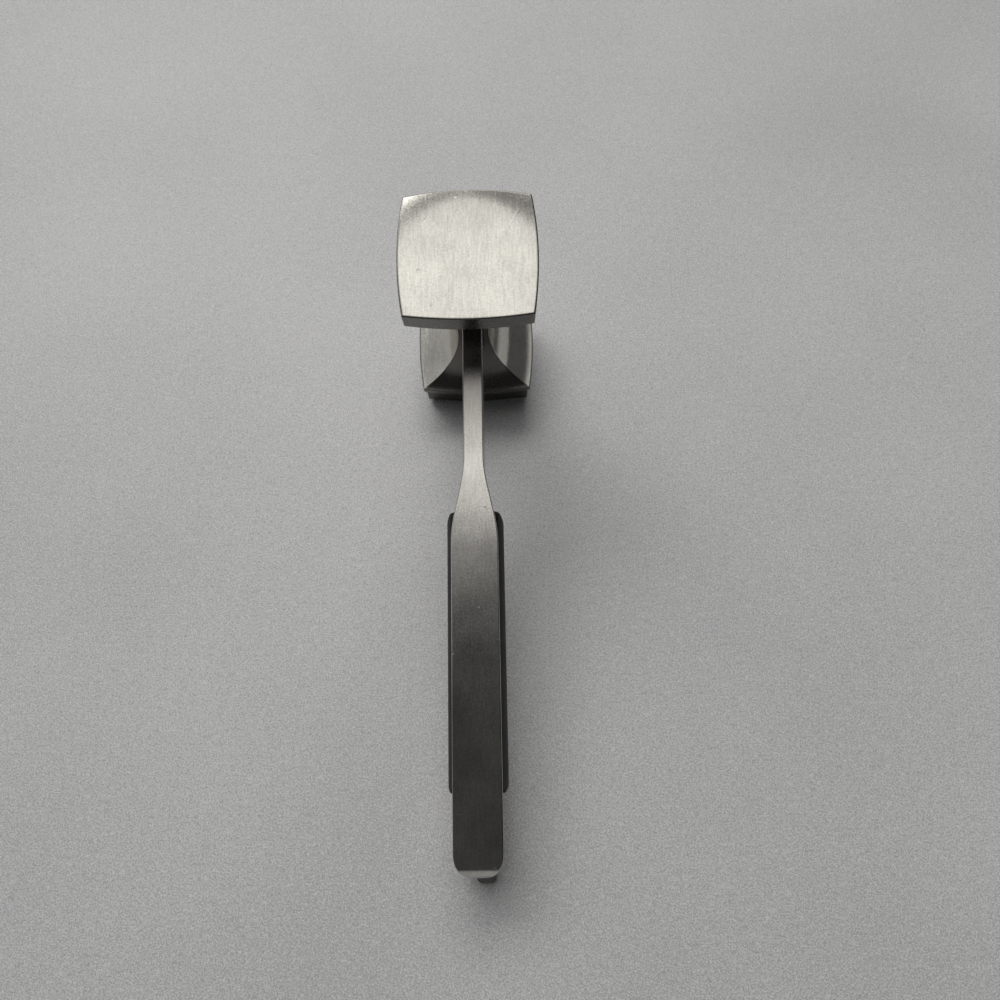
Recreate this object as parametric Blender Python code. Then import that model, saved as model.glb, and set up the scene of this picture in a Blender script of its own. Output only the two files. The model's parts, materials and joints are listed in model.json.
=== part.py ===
"""A double-faced meat mallet that leans on its toothed face and on the end of its handle.

The head stands on +Z, the handle runs towards -Y and +X is the mallet's right side, as seen from
above with the head at the top. All sizes are in metres. Every piece is modelled with the head
upright and the middle of its waist at the origin, and one empty then tips the whole mallet until
the teeth and the handle's tab both touch the ground.
"""

import math

import bmesh
import bpy
from mathutils import Matrix, Vector

# Head: two plates joined by a waist
FACE_WIDTH = 0.0510          # across the middle of a face
SIDE_SWELL = 0.0019          # how far the middle of a side stands out past its corners
FACE_HEIGHT = 0.0409         # middle of the waist to the smooth face
FACE_RIM = 0.0084            # smooth plate's rim at the middle of a side
FOOT_RIM = 0.0030            # lower plate's rim, over the toothed block
WAIST_WIDTH = 0.0132         # across the handle
WAIST_DEPTH = 0.0240         # along the handle
CROWN_DROP = 0.0008          # how far the smooth face falls to its corners
CROWN_BORDER = 0.0045        # width of the falling border at the middle of a side
RIM_ROUNDING = 0.0004        # rounding between the rim and the smooth face

# Toothed face, a block under the lower plate
TOOTH_INSET = 0.0010         # block's edge in from the rim
TOOTH_BASE = 0.0104          # solid part over the teeth
TOOTH_HEIGHT = 0.0036
TOOTH_TIP = 0.0007           # flat at the tip of a tooth
TEETH_PER_ROW = 8
SPIGOT_RADIUS = 0.0100
SPIGOT_LENGTH = 0.0040

# Handle frame
HANDLE_REACH = 0.2154        # middle of the head to the tail
HANDLE_DEPTH = 0.0230
NECK_WIDTH = 0.0076
STRIP_WIDTH = 0.0174
STRIP_THICKNESS = 0.0030
WEB_WIDTH = 0.0060
NECK_END = 0.0665            # middle of the head to where the neck starts to widen
NECK_FLARE = 0.0330          # length over which it widens
TAIL_TAPER = 0.0100          # length over which the tail's outline closes
TAIL_ROUNDING = 0.0080       # rounding of the tail's end, seen from the side
EDGE_ROUNDING = 0.0005
TENON_LENGTH = 0.0120        # how deep the neck goes into the waist
TAB_WIDTH = 0.0070
TAB_THICKNESS = 0.0026
TAB_LENGTH = 0.0050          # tab past the tail
TAB_OFFSET = 0.0022          # tab's middle to the right of the handle's
LOOP_LENGTH = 0.0175         # opening in the tail, along the handle
LOOP_ROUNDING = 0.0050

# Grip pads
GRIP_SETBACK = 0.0203        # start of the neck's flare to the front of the pads
GRIP_BULKHEAD = 0.0069       # wall between the pads and the tail's opening
GRIP_WIDTH = 0.0216          # across both pads
GRIP_FRONT_TAPER = 0.0070
GRIP_REAR_TAPER = 0.0040
GRIP_CORNER = 0.0040

# Pins
HEAD_PIN_RADIUS = 0.0025
DOWEL_RADIUS = 0.0020
DOWEL_SEAT = 0.0035          # how deep a dowel goes into each pad

# Clearances
FIT_GAP = 0.0003             # between two pieces that touch
MERGE_GAP = 0.000003         # corners of one outline that are closer than this are one
OVERRUN = 0.0040             # how far a cutter runs past what it cuts
TIP_TRIM = 0.0002            # stock over the teeth that the cutters take off

# Smoothness
SIDE_STEPS = 12
FLARE_STEPS = 10
ROUNDING_STEPS = 3
ROUND_STEPS = 32
CORNER_STEPS = 5
ARC_STEPS = 12
TAPER_STEPS = 10
TAIL_STEPS = 14
EDGE_STEPS = 3

# Shape shares, chosen by hand
WAIST_ROUND_SHARE = 0.20     # 0 is a waist with square corners, 1 a rounded one
FLARE_SLOPE_SHARE = 0.10     # rise for each step inwards where the flare leaves the rim
FLARE_POWER = 2.2            # 2 is an elliptical flare, more turns up later
TAIL_POWER = 2.3             # 2 is an elliptical tail, more is squarer
DOWEL_PLACE_SHARES = (1 / 6, 1 / 2, 5 / 6)   # along the pads, from the front


def collection(name):
    """Make a collection in the scene."""
    made = bpy.data.collections.new(name)
    bpy.context.scene.collection.children.link(made)
    return made


for old in list(bpy.data.objects):
    bpy.data.objects.remove(old, do_unlink=True)

MALLET = collection("meat_mallet")
CUTTERS = collection("cutters")


def material(name, colour, roughness, metallic):
    """A plain Principled material."""
    made = bpy.data.materials.new(name)
    made.use_nodes = True
    shader = made.node_tree.nodes["Principled BSDF"]
    shader.inputs["Base Color"].default_value = (*colour, 1.0)
    shader.inputs["Roughness"].default_value = roughness
    shader.inputs["Metallic"].default_value = metallic
    return made


def place(name, mesh, into):
    """Put a mesh in the scene as an object of one collection."""
    made = bpy.data.objects.new(name, mesh)
    into.objects.link(made)
    if into is CUTTERS:
        made.hide_render = True
        made.display_type = "WIRE"
    return made


def finish_mesh(name, shape):
    """Turn a bmesh into a mesh whose faces point out."""
    bmesh.ops.recalc_face_normals(shape, faces=shape.faces)
    mesh = bpy.data.meshes.new(name)
    shape.to_mesh(mesh)
    shape.free()
    return mesh


def cylinder(name, radius, length, axis, centre, into):
    """A round bar along one axis."""
    shape = bmesh.new()
    turn = Vector((0, 0, 1)).rotation_difference(Vector(axis)).to_matrix().to_4x4()
    bmesh.ops.create_cone(shape, cap_ends=True, segments=ROUND_STEPS, radius1=radius, radius2=radius,
                          depth=length, matrix=Matrix.Translation(centre) @ turn)
    return place(name, finish_mesh(name, shape), into)


def box(name, low, high, into):
    """A block between its lowest and highest corners."""
    shape = bmesh.new()
    low, high = Vector(low), Vector(high)
    stretch = Matrix.Diagonal((high - low).to_4d())
    stretch[3][3] = 1
    bmesh.ops.create_cube(shape, size=1, matrix=Matrix.Translation((low + high) / 2) @ stretch)
    return place(name, finish_mesh(name, shape), into)


def slab(name, outline, half_thickness, turn, into):
    """A flat outline as a 2D curve, thickened both ways and made a mesh, then turned into place."""
    curve = bpy.data.curves.new(name, "CURVE")
    curve.dimensions = "2D"
    curve.fill_mode = "BOTH"
    curve.extrude = half_thickness
    spline = curve.splines.new("POLY")
    spline.points.add(len(outline) - 1)
    for point, (across, along) in zip(spline.points, outline):
        point.co = (across, along, 0, 1)
    spline.use_cyclic_u = True
    drawn = place(name + "_outline", curve, CUTTERS)
    shape = bmesh.new()
    graph = bpy.context.evaluated_depsgraph_get()
    shape.from_mesh(bpy.data.meshes.new_from_object(drawn.evaluated_get(graph)))
    bmesh.ops.remove_doubles(shape, verts=shape.verts, dist=MERGE_GAP)
    bmesh.ops.transform(shape, matrix=turn, verts=shape.verts)
    bpy.data.objects.remove(drawn, do_unlink=True)
    bpy.data.curves.remove(curve)
    return place(name, finish_mesh(name, shape), into)


# Three ways to lay a slab: thick along Z, along X (outline in Y, Z) and along Y (outline in X, Z)
FLAT = Matrix.Identity(4)
SIDEWAYS = Matrix(((0, 0, 1, 0), (1, 0, 0, 0), (0, 1, 0, 0), (0, 0, 0, 1)))
ENDWAYS = Matrix(((1, 0, 0, 0), (0, 0, -1, 0), (0, 1, 0, 0), (0, 0, 0, 1)))


def boolean(piece, other, operation):
    """Cut, join or cross a piece with another object."""
    step = piece.modifiers.new(f"{operation.lower()}_{other.name}", "BOOLEAN")
    step.operation = operation
    step.solver = "EXACT"
    step.object = other


def rounded_outline(low, high, radius, steps):
    """A rectangle with round corners, anticlockwise, each corner in a number of steps."""
    points = []
    corners = ((high[0] - radius, high[1] - radius, 0), (low[0] + radius, high[1] - radius, 1),
               (low[0] + radius, low[1] + radius, 2), (high[0] - radius, low[1] + radius, 3))
    for across, up, quarter in corners:
        for step in range(steps + 1):
            angle = math.pi / 2 * (quarter + step / steps)
            points.append((across + radius * math.cos(angle), up + radius * math.sin(angle)))
    return points


def swollen_outline(half_width, half_depth, swell, round_share):
    """Outline points of a four-sided section.

    The sides swell in a parabola past the corners. A round share of 1 draws the corners in to an
    ellipse through the middles of the sides.
    """
    points = []
    for quarter in range(4):
        turn = Matrix.Rotation(-quarter * math.pi / 2, 2)
        for step in range(SIDE_STEPS):
            along = 2 * step / SIDE_STEPS - 1
            angle = along * math.pi / 4
            unit = turn @ Vector((along, 1)).lerp(Vector((math.sin(angle), math.cos(angle))), round_share)
            swollen = turn @ Vector((0, swell * (1 - along * along)))
            points.append(Vector((unit.x * half_width, unit.y * half_depth)) + swollen)
    return points


def swollen_square(half, swell):
    """Outline points of a plate: a square with swollen sides and sharp corners."""
    return swollen_outline(half, half, swell, 0)


# Head body: one closed loft from the lower plate's underside to the smooth face

HALF_FACE = FACE_WIDTH / 2
HALF_CORNER = HALF_FACE - SIDE_SWELL
HALF_GAP = FACE_HEIGHT - FACE_RIM
FOOT = -HALF_GAP - FOOT_RIM
FLAT_RADIUS = HALF_FACE - CROWN_BORDER


def crown(point):
    """How far the smooth face lies below its flat middle at a point."""
    reach = HALF_CORNER * math.sqrt(2) - FLAT_RADIUS
    past = max(0.0, point.length - FLAT_RADIUS) / reach
    return CROWN_DROP * past * past


def flare_rings(side):
    """Sections of one flare from the waist to the rim: four hollow faces, creased at the corners.

    Seen from the side, a face is a quarter of a superellipse that stands upright at the waist and
    leaves the rim at a small slope.
    """
    rings = []
    for step in range(FLARE_STEPS + 1):
        angle = math.pi / 2 * (1 - step / FLARE_STEPS)
        widened = 1 - math.sin(angle) ** (2 / FLARE_POWER)
        risen = 1 - math.cos(angle) ** (2 / FLARE_POWER)
        half_width = WAIST_WIDTH / 2 + (HALF_CORNER - WAIST_WIDTH / 2) * widened
        half_depth = WAIST_DEPTH / 2 + (HALF_CORNER - WAIST_DEPTH / 2) * widened
        slope = FLARE_SLOPE_SHARE * (HALF_CORNER - WAIST_WIDTH / 2)
        fall = (HALF_GAP - slope) * (1 - risen) + slope * widened
        section = swollen_outline(half_width, half_depth, SIDE_SWELL * widened,
                                  WAIST_ROUND_SHARE * (1 - widened))
        rings.append([(p.x, p.y, side * fall) for p in section])
    return rings


def head_rings():
    """The head's sections from bottom to top, each as a list of points."""
    foot = [(p.x, p.y, FOOT) for p in swollen_square(HALF_CORNER, SIDE_SWELL)]
    rings = [foot] + flare_rings(-1)[::-1] + flare_rings(1)[1:]
    for step in range(ROUNDING_STEPS + 1):
        angle = math.pi / 2 * step / ROUNDING_STEPS
        drawn_in = RIM_ROUNDING * (1 - math.cos(angle))
        below = RIM_ROUNDING * (1 - math.sin(angle))
        section = swollen_square(HALF_CORNER - drawn_in, SIDE_SWELL)
        rings.append([(p.x, p.y, FACE_HEIGHT - below - crown(p)) for p in section])
    for step in range(1, ROUNDING_STEPS + 1):
        share = step / ROUNDING_STEPS
        half = (HALF_CORNER - RIM_ROUNDING) * (1 - share) + FLAT_RADIUS * share
        section = swollen_outline(half, half, SIDE_SWELL * (1 - share), share)
        rings.append([(p.x, p.y, FACE_HEIGHT - crown(p) * (share < 1)) for p in section])
    return rings


def loft(name, rings, into):
    """Skin a list of rings of equal length and cap both ends."""
    shape = bmesh.new()
    made = [[shape.verts.new(point) for point in ring] for ring in rings]
    for low, high in zip(made, made[1:]):
        for index in range(len(low)):
            after = (index + 1) % len(low)
            shape.faces.new((low[index], low[after], high[after], high[index]))
    shape.faces.new(made[0])
    shape.faces.new(made[-1])
    return place(name, finish_mesh(name, shape), into)


HALF_NECK = NECK_WIDTH / 2
HALF_DEPTH = HANDLE_DEPTH / 2
SOCKET_FLOOR = TENON_LENGTH - WAIST_DEPTH / 2

head = loft("head_body", head_rings(), MALLET)
socket = box("neck_socket", (-HALF_NECK - FIT_GAP, -HALF_FACE - OVERRUN, -HALF_DEPTH - FIT_GAP),
             (HALF_NECK + FIT_GAP, SOCKET_FLOOR, HALF_DEPTH + FIT_GAP), CUTTERS)
boolean(head, socket, "DIFFERENCE")
PIN_PLACE = (0, SOCKET_FLOOR - TENON_LENGTH / 2, 0)
pin_hole = cylinder("head_pin_hole", HEAD_PIN_RADIUS + FIT_GAP, WAIST_WIDTH + OVERRUN * 2, (1, 0, 0),
                    PIN_PLACE, CUTTERS)
boolean(head, pin_hole, "DIFFERENCE")
recess = cylinder("spigot_recess", SPIGOT_RADIUS + FIT_GAP, SPIGOT_LENGTH + OVERRUN, (0, 0, 1),
                  (0, 0, FOOT + (SPIGOT_LENGTH - OVERRUN) / 2), CUTTERS)
boolean(head, recess, "DIFFERENCE")
head.data.materials.append(material("cast_satin_metal", (0.52, 0.50, 0.47), 0.36, 1.0))


# Tooth plate: a block with a round spigot, grooved both ways into rows of pyramids

PLATE_TOP = FOOT - FIT_GAP
TOOTH_ROOT = PLATE_TOP - TOOTH_BASE
TOOTH_END = TOOTH_ROOT - TOOTH_HEIGHT
TOOTH_PITCH = (FACE_WIDTH - 2 * TOOTH_INSET - SIDE_SWELL) / TEETH_PER_ROW


def groove_comb():
    """Everything outside one row of teeth, as seen along the grooves: a zigzag over a straight edge."""
    slope = (TOOTH_PITCH - TOOTH_TIP) / 2
    row = TOOTH_PITCH * TEETH_PER_ROW / 2
    edge = HALF_FACE + OVERRUN
    points = [(-edge, TOOTH_ROOT)]
    for tooth in range(TEETH_PER_ROW):
        left = tooth * TOOTH_PITCH - row
        points += [(left, TOOTH_ROOT), (left + slope, TOOTH_END), (left + slope + TOOTH_TIP, TOOTH_END)]
    clear = TOOTH_END - OVERRUN
    return points + [(row, TOOTH_ROOT), (edge, TOOTH_ROOT), (edge, clear), (-edge, clear)]


plate_thickness = TOOTH_BASE + TOOTH_HEIGHT + TIP_TRIM
plate_outline = [tuple(p) for p in swollen_square(HALF_CORNER - TOOTH_INSET, SIDE_SWELL)]
tooth_plate = slab("tooth_plate", plate_outline, plate_thickness / 2,
                   Matrix.Translation((0, 0, PLATE_TOP - plate_thickness / 2)), MALLET)
for turn, facing in ((ENDWAYS, "across"), (Matrix.Rotation(math.pi / 2, 4, "Z") @ ENDWAYS, "along")):
    grooves = slab("grooves_" + facing, groove_comb(), HALF_FACE + OVERRUN, turn, CUTTERS)
    boolean(tooth_plate, grooves, "DIFFERENCE")
spigot = cylinder("spigot", SPIGOT_RADIUS, SPIGOT_LENGTH + TOOTH_BASE / 2, (0, 0, 1),
                  (0, 0, PLATE_TOP + (SPIGOT_LENGTH - TOOTH_BASE / 2) / 2), CUTTERS)
boolean(tooth_plate, spigot, "UNION")
tooth_plate.data.materials.append(material("toothed_cast_metal", (0.42, 0.41, 0.39), 0.42, 1.0))


# Handle frame: a loft of round-edged oblong sections from the neck's tip to the tail, cut and drilled

HALF_STRIP = STRIP_WIDTH / 2
NECK_TIP = SOCKET_FLOOR - FIT_GAP
TAIL = -HANDLE_REACH


def neck_flare_half(share):
    """Half the handle's width at a share of the way along the neck's flare: a smooth ease."""
    eased = share * share * (3 - 2 * share)
    return HALF_NECK + (HALF_STRIP - HALF_NECK) * eased


def half_depth_at(along):
    """Half the handle's depth: constant, then drawn in by a round turn at the tail."""
    into_turn = min(TAIL_ROUNDING, max(0.0, TAIL + TAIL_ROUNDING - along))
    return HALF_DEPTH - TAIL_ROUNDING + math.sqrt(TAIL_ROUNDING ** 2 - into_turn ** 2)


def handle_stations():
    """Places along the handle, each with half the width there."""
    stations = [(NECK_TIP, HALF_NECK)]
    for step in range(TAPER_STEPS + 1):
        share = step / TAPER_STEPS
        stations.append((-NECK_END - NECK_FLARE * share, neck_flare_half(share)))
    for step in range(TAIL_STEPS):
        angle = math.pi / 2 * step / TAIL_STEPS
        along = TAIL + TAIL_TAPER * (1 - math.sin(angle) ** (2 / TAIL_POWER))
        stations.append((along, HALF_STRIP * math.cos(angle) ** (2 / TAIL_POWER)))
    return stations


def handle_sections():
    """Oblong sections with rounded edges, one at each station."""
    rings = []
    for along, half_width in handle_stations():
        half_depth = half_depth_at(along)
        radius = min(EDGE_ROUNDING, half_width / 2)
        outline = rounded_outline((-half_width, -half_depth), (half_width, half_depth), radius, EDGE_STEPS)
        rings.append([(across, along, up) for across, up in outline])
    return rings


frame = loft("handle_frame", handle_sections(), MALLET)

HALF_CHANNEL = HALF_DEPTH - STRIP_THICKNESS
LOOP_REAR = TAIL + STRIP_THICKNESS
GRIP_FRONT = -NECK_END - GRIP_SETBACK
GRIP_REAR = LOOP_REAR + LOOP_LENGTH + GRIP_BULKHEAD
GRIP_LENGTH = GRIP_FRONT - GRIP_REAR
channel_outline = rounded_outline((GRIP_REAR - FIT_GAP, -HALF_CHANNEL), (GRIP_FRONT + FIT_GAP, HALF_CHANNEL),
                                  GRIP_CORNER, CORNER_STEPS)
for side, name in ((-1, "left"), (1, "right")):
    reach = (HALF_STRIP + OVERRUN - WEB_WIDTH / 2) / 2
    channel = slab(name + "_channel", channel_outline, reach,
                   Matrix.Translation((side * (WEB_WIDTH / 2 + reach), 0, 0)) @ SIDEWAYS, CUTTERS)
    boolean(frame, channel, "DIFFERENCE")

loop_outline = rounded_outline((LOOP_REAR, -HALF_CHANNEL), (LOOP_REAR + LOOP_LENGTH, HALF_CHANNEL),
                               LOOP_ROUNDING, CORNER_STEPS)
loop = slab("tail_loop", loop_outline, HALF_STRIP + OVERRUN, SIDEWAYS, CUTTERS)
boolean(frame, loop, "DIFFERENCE")

tab_end = TAIL - TAB_LENGTH
tab_outline = rounded_outline((TAB_OFFSET - TAB_WIDTH / 2, tab_end),
                              (TAB_OFFSET + TAB_WIDTH / 2, TAIL + TAIL_ROUNDING), TAB_WIDTH / 4, CORNER_STEPS)
tab_middle = -HALF_DEPTH + STRIP_THICKNESS / 2
tab = slab("tail_tab", tab_outline, TAB_THICKNESS / 2, Matrix.Translation((0, 0, tab_middle)), CUTTERS)
boolean(frame, tab, "UNION")

neck_hole = cylinder("neck_pin_hole", HEAD_PIN_RADIUS + FIT_GAP, NECK_WIDTH + OVERRUN * 2, (1, 0, 0),
                     PIN_PLACE, CUTTERS)
boolean(frame, neck_hole, "DIFFERENCE")
frame.data.materials.append(material("brushed_satin_metal", (0.46, 0.45, 0.43), 0.40, 1.0))


# Head pin: locks the neck in the waist, just short of the waist's sides

head_pin = cylinder("head_pin", HEAD_PIN_RADIUS, WAIST_WIDTH - 2 * FIT_GAP, (1, 0, 0), PIN_PLACE, MALLET)
head_pin.data.materials.append(material("pin_steel", (0.55, 0.55, 0.56), 0.3, 1.0))


# Grip pads: three outlines crossed, with the bulge of the outer face only past the strip's edge

PAD_INNER = WEB_WIDTH / 2 + FIT_GAP
PAD_EDGE = HALF_STRIP - FIT_GAP
PAD_OUTER = GRIP_WIDTH / 2
HALF_PAD = HALF_CHANNEL - FIT_GAP


def pad_section():
    """A right pad cut across: flat inner face, outer face bulging from the strip's edge."""
    points = [(PAD_INNER, HALF_PAD + OVERRUN), (PAD_INNER, -HALF_PAD - OVERRUN)]
    for step in range(ARC_STEPS + 1):
        up = 2 * step / ARC_STEPS - 1
        points.append((PAD_EDGE + (PAD_OUTER - PAD_EDGE) * (1 - up * up), up * HALF_PAD))
    points.insert(2, (PAD_EDGE, -HALF_PAD - OVERRUN))
    points.append((PAD_EDGE, HALF_PAD + OVERRUN))
    return points


def pad_plan():
    """A right pad from above: quarter-ellipse tapers at both ends of its outer face."""
    front_edge = neck_flare_half(GRIP_SETBACK / NECK_FLARE)
    points = [(PAD_INNER - OVERRUN, GRIP_REAR), (PAD_INNER - OVERRUN, GRIP_FRONT)]
    for inner, length, end, onward in ((front_edge, GRIP_FRONT_TAPER, GRIP_FRONT, -1),
                                       (PAD_EDGE, GRIP_REAR_TAPER, GRIP_REAR, 1)):
        arc = []
        for step in range(TAPER_STEPS + 1):
            angle = math.pi / 2 * step / TAPER_STEPS
            arc.append((inner + (PAD_OUTER + FIT_GAP - inner) * math.sin(angle),
                        end + onward * length * (1 - math.cos(angle))))
        points += arc if onward < 0 else arc[::-1]
    return points


def mirrored(outline, side):
    """The same outline for the left or the right of the handle."""
    return [(side * across, along) for across, along in outline]


dowel_places = [GRIP_FRONT - GRIP_LENGTH * share for share in DOWEL_PLACE_SHARES]
pad_side = rounded_outline((GRIP_REAR, -HALF_PAD), (GRIP_FRONT, HALF_PAD), GRIP_CORNER, CORNER_STEPS)
for side, name in ((-1, "left"), (1, "right")):
    pad = slab("grip_" + name, mirrored(pad_plan(), side), HALF_PAD + OVERRUN / 2, FLAT, MALLET)
    long_way = Matrix.Translation((0, (GRIP_FRONT + GRIP_REAR) / 2, 0))
    section = slab(name + "_pad_section", mirrored(pad_section(), side), GRIP_LENGTH / 2 + OVERRUN,
                   long_way @ ENDWAYS, CUTTERS)
    boolean(pad, section, "INTERSECT")
    outline = slab(name + "_pad_side", pad_side, PAD_OUTER + OVERRUN, SIDEWAYS, CUTTERS)
    boolean(pad, outline, "INTERSECT")
    pad.data.materials.append(material("black_soft_grip_" + name, (0.012, 0.012, 0.011), 0.55, 0.0))
    for number, along in enumerate(dowel_places):
        depth = DOWEL_SEAT + 2 * FIT_GAP + OVERRUN
        seat = cylinder(f"{name}_dowel_seat_{number}", DOWEL_RADIUS + FIT_GAP, depth, (1, 0, 0),
                        (side * (PAD_INNER - OVERRUN + depth / 2), along, 0), CUTTERS)
        boolean(pad, seat, "DIFFERENCE")

for place_name, along in zip(("front", "middle", "rear"), dowel_places):
    web_hole = cylinder(f"web_hole_{place_name}", DOWEL_RADIUS + FIT_GAP, WEB_WIDTH + OVERRUN * 2, (1, 0, 0),
                        (0, along, 0), CUTTERS)
    boolean(frame, web_hole, "DIFFERENCE")
    dowel = cylinder("grip_dowel_" + place_name, DOWEL_RADIUS, 2 * (PAD_INNER + DOWEL_SEAT), (1, 0, 0),
                     (0, along, 0), MALLET)
    dowel.data.materials.append(material("dowel_steel_" + place_name, (0.5, 0.5, 0.5), 0.35, 1.0))


# Lean: tip the mallet until the rear row of teeth and the tab's underside are level

rear_tooth = -(TOOTH_PITCH * (TEETH_PER_ROW - 1) + TOOTH_TIP) / 2
lean_angle = math.atan2(tab_middle - TAB_THICKNESS / 2 - TOOTH_END, rear_tooth - tab_end)
lean = bpy.data.objects.new("lean", None)
MALLET.objects.link(lean)
lean.rotation_euler = (lean_angle, 0, 0)
pieces = [piece for piece in MALLET.objects if piece.type == "MESH"]
for piece in pieces + list(CUTTERS.objects):
    piece.parent = lean
bpy.context.view_layer.update()

# The origin is the middle of the mallet's box, at its foot
graph = bpy.context.evaluated_depsgraph_get()
corners = []
for piece in pieces:
    body = piece.evaluated_get(graph).to_mesh()
    corners += [piece.matrix_world @ vertex.co for vertex in body.vertices]
    piece.evaluated_get(graph).to_mesh_clear()
lowest = Vector(min(corner[axis] for corner in corners) for axis in range(3))
highest = Vector(max(corner[axis] for corner in corners) for axis in range(3))
lean.location = (-(lowest.x + highest.x) / 2, -(lowest.y + highest.y) / 2, -lowest.z)
bpy.context.view_layer.update()
print("lean", round(math.degrees(lean_angle), 3), "degrees, placed at", tuple(lean.location))
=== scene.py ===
"""A double-faced meat mallet lying on a pale table, seen from above the side of its handle.

Every piece is worked out upright, with the middle of the waist at the origin, +X to the right and the
handle towards -Y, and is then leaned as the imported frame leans. Sizes are in metres.
"""

import json
import math

import bmesh
import bpy
import numpy as np
from mathutils import Matrix, Vector


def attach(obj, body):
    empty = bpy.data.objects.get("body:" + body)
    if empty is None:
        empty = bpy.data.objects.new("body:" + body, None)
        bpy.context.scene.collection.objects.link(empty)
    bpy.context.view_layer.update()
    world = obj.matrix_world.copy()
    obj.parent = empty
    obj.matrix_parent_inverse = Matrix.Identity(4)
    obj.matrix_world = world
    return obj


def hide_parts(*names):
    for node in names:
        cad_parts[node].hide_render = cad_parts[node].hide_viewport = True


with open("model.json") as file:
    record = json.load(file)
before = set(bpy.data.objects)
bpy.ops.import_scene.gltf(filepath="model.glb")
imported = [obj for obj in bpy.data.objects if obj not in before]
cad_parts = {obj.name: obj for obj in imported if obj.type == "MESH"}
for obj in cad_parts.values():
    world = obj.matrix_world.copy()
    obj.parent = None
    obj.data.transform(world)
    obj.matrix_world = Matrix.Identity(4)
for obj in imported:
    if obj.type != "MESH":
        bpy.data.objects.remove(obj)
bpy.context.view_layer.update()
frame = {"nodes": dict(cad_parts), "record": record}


# How the mallet lies. It leans on its rear row of teeth and on the tab at the end of the handle, and the
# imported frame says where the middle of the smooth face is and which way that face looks.
FACE_HEIGHT = 0.0409
smooth_face = next(mount for mount in frame["record"]["mounts"] if mount["name"] == "smooth_face")
LEAN = math.atan2(-smooth_face["axis"][1], smooth_face["axis"][2])
LEANED = Matrix.Rotation(LEAN, 4, "X")
LAID = Matrix.Translation(Vector(smooth_face["pos_m"]) - LEANED @ Vector((0, 0, FACE_HEIGHT))) @ LEANED


# Head body. One aluminium casting: two square plates with swollen sides, joined by hollow flares to an
# oblong waist. The smooth face is brushed along the handle and falls away a little towards its edges.
# The waist has a socket for the neck of the handle, and a hole across it for the pin.
FACE_WIDTH = 0.0510
SIDE_SWELL = 0.0019
FACE_RIM = 0.0084
FOOT_RIM = 0.0030
WAIST_WIDTH = 0.0132
WAIST_DEPTH = 0.0240
CROWN_DROP = 0.0008
CROWN_BORDER = 0.0045
WAIST_ROUND_SHARE = 0.20
FLARE_SLOPE_SHARE = 0.10
FLARE_POWER = 2.2
EDGE_SOFTNESS = 0.00025
RIM_SOFTNESS = 0.0004
SPIGOT_RADIUS = 0.0100
SPIGOT_LENGTH = 0.0040
NECK_WIDTH = 0.0076
HANDLE_DEPTH = 0.0230
TENON_LENGTH = 0.0120
HEAD_PIN_RADIUS = 0.0025
FIT_GAP = 0.0003
OVERRUN = 0.0040
SIDE_STEPS = 40
FLARE_STEPS = 44
SMOOTHING = np.linspace(-1, 1, 9)

HALF_CORNER = FACE_WIDTH / 2 - SIDE_SWELL
HALF_GAP = FACE_HEIGHT - FACE_RIM
FOOT = -HALF_GAP - FOOT_RIM
FLAT_RADIUS = FACE_WIDTH / 2 - CROWN_BORDER
SOCKET_FLOOR = TENON_LENGTH - WAIST_DEPTH / 2


def round_places(steps):
    """Places round a four-sided section, from 0 to 4. On each side they are the sine of equal steps, so
    that they crowd towards its corners."""
    along = np.sin((np.arange(steps) / steps - 0.5) * np.pi)
    return (np.arange(4)[:, None] + (along + 1) / 2).ravel()


def sharp_section(place, half_x, half_y, swell, roundness):
    """Points of a four-sided section. A side runs straight from -1 to 1, mixed by the roundness with a
    quarter of a circle, is stretched to the half widths, and swells by a parabola."""
    side = np.floor(place).astype(int) % 4
    along = (place - np.floor(place)) * 2 - 1
    across = along + (np.sin(along * np.pi / 4) - along) * roundness
    out = 1 + (np.cos(along * np.pi / 4) - 1) * roundness
    swollen = swell * (1 - along ** 2)
    x = np.choose(side, (across, out, -across, -out)) * half_x + np.choose(side, (0, 1, 0, -1)) * swollen
    y = np.choose(side, (out, -across, -out, across)) * half_y + np.choose(side, (1, 0, -1, 0)) * swollen
    return np.stack(np.broadcast_arrays(x, y), axis=-1)


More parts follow.
